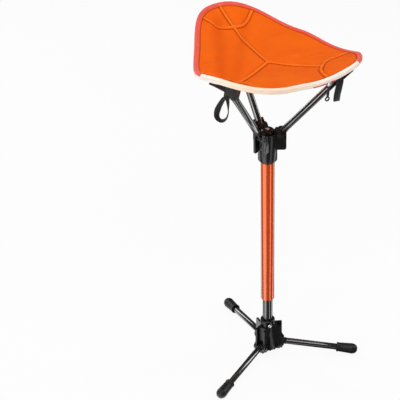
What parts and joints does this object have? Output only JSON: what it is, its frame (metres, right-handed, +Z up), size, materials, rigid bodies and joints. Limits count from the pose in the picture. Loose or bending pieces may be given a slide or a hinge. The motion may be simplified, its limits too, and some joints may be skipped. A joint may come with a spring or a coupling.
{
  "type": "collapsible telescopic stool",
  "caption": "Folding camp stool: telescopic post on fold-up legs, fold-down arms carrying a padded three-cornered fabric seat.",
  "frame": {"origin": "middle of the bottom of the bounding box, on the floor", "axes": "+Z up along the post, +X along the right leg as the picture shows it"},
  "size_m": [0.3002, 0.3096, 0.6775],
  "materials": {
    "hub_plastic": "satin black moulded nylon",
    "black_tube": "gloss black",
    "orange_tube": "orange anodised, glossy",
    "foot_rubber": "matt black rubber",
    "steel": "bright",
    "dark_steel": "blackened steel",
    "nylon": "black nylon",
    "seat_fabric": "orange padded polyester weave",
    "seat_binding": "coral edge binding",
    "edge_facing": "pale peach lining",
    "black_webbing": "black woven webbing",
    "zip_tape": "red zip tape"
  },
  "bodies": {
    "base": {"base_hub": "hub_plastic", "base_plate": "nylon", "collar_rivet": "steel", "inner_tube": "black_tube", "lock_spindle": "nylon", "leg_pin_right": "dark_steel", "leg_pin_back": "dark_steel", "leg_pin_front": "dark_steel"},
    "right_leg": {"leg_right": "black_tube", "leg_knuckle_right": "hub_plastic", "foot_right": "foot_rubber"},
    "back_leg": {"leg_back": "black_tube", "leg_knuckle_back": "hub_plastic", "foot_back": "foot_rubber"},
    "front_leg": {"leg_front": "black_tube", "leg_knuckle_front": "hub_plastic", "foot_front": "foot_rubber"},
    "lock": {"lock_expander": "nylon"},
    "upper": {"outer_tube": "orange_tube", "slide_bush": "nylon", "top_hub": "hub_plastic", "hub_cap": "nylon", "cap_screw": "steel", "arm_pin_right": "dark_steel", "arm_pin_back": "dark_steel", "arm_pin_front": "dark_steel"},
    "right_arm": {"arm_right": "black_tube", "arm_knuckle_right": "hub_plastic", "arm_tip_right": "nylon"},
    "back_arm": {"arm_back": "black_tube", "arm_knuckle_back": "hub_plastic", "arm_tip_back": "nylon"},
    "front_arm": {"arm_front": "black_tube", "arm_knuckle_front": "hub_plastic", "arm_tip_front": "nylon"},
    "seat": {"seat_panel": "seat_fabric", "seat_binding": "seat_binding", "near_binding": "edge_facing", "edge_facing": "edge_facing", "zip_tape": "zip_tape", "corner_pocket_right": "black_webbing", "corner_pocket_back": "black_webbing", "corner_pocket_front": "black_webbing", "pull_loop_right": "black_webbing", "pull_loop_back": "black_webbing", "pull_loop_front": "black_webbing"},
    "zip_slider": {"zip_slider": "steel"},
    "zip_pull": {"zip_pull": "black_webbing"}
  },
  "joints": [
    {"name": "right_leg_fold", "type": "hinge", "parent": "base", "child": "right_leg", "pos_m": [0.00266, 0.00218, 0.027], "axis": [0, -1, 0], "range_deg": [0, 97.2]},
    {"name": "back_leg_fold", "type": "hinge", "parent": "base", "child": "back_leg", "pos_m": [-0.03484, 0.02383, 0.027], "axis": [0.866, 0.5, 0], "range_deg": [0, 97.2]},
    {"name": "front_leg_fold", "type": "hinge", "parent": "base", "child": "front_leg", "pos_m": [-0.03484, -0.01947, 0.027], "axis": [-0.866, 0.5, 0], "range_deg": [0, 97.2]},
    {"name": "lock_turn", "type": "hinge", "parent": "base", "child": "lock", "pos_m": [-0.02234, 0.00218, 0.3873], "axis": [0, 0, 1], "range_deg": [-180, 0]},
    {"name": "post_slide", "type": "slide", "parent": "lock", "child": "upper", "axis": [0, 0, 1], "range_m": [-0.048, 0.08]},
    {"name": "right_arm_fold", "type": "hinge", "parent": "upper", "child": "right_arm", "pos_m": [0.00163, 0.00343, 0.487], "axis": [-0.0523, 0.9986, 0], "range_deg": [0, 137.2]},
    {"name": "back_arm_fold", "type": "hinge", "parent": "upper", "child": "back_arm", "pos_m": [-0.03541, 0.0223, 0.487], "axis": [-0.8387, -0.5446, 0], "range_deg": [0, 143.5]},
    {"name": "front_arm_fold", "type": "hinge", "parent": "upper", "child": "front_arm", "pos_m": [-0.03323, -0.01921, 0.487], "axis": [0.891, -0.454, 0], "range_deg": [0, 144]},
    {"name": "seat_lift", "type": "slide", "parent": "upper", "child": "seat", "axis": [0, 0, 1], "range_m": [0, 0.15]},
    {"name": "zip_slide", "type": "slide", "parent": "seat", "child": "zip_slider", "axis": [-0.8322, -0.5471, 0.0904], "range_m": [0, 0.015]},
    {"name": "pull_swing", "type": "hinge", "parent": "zip_slider", "child": "zip_pull", "pos_m": [0.08249, -0.08709, 0.62953], "axis": [-0.8322, -0.5471, 0.0904], "range_deg": [0, 80]}
  ]
}
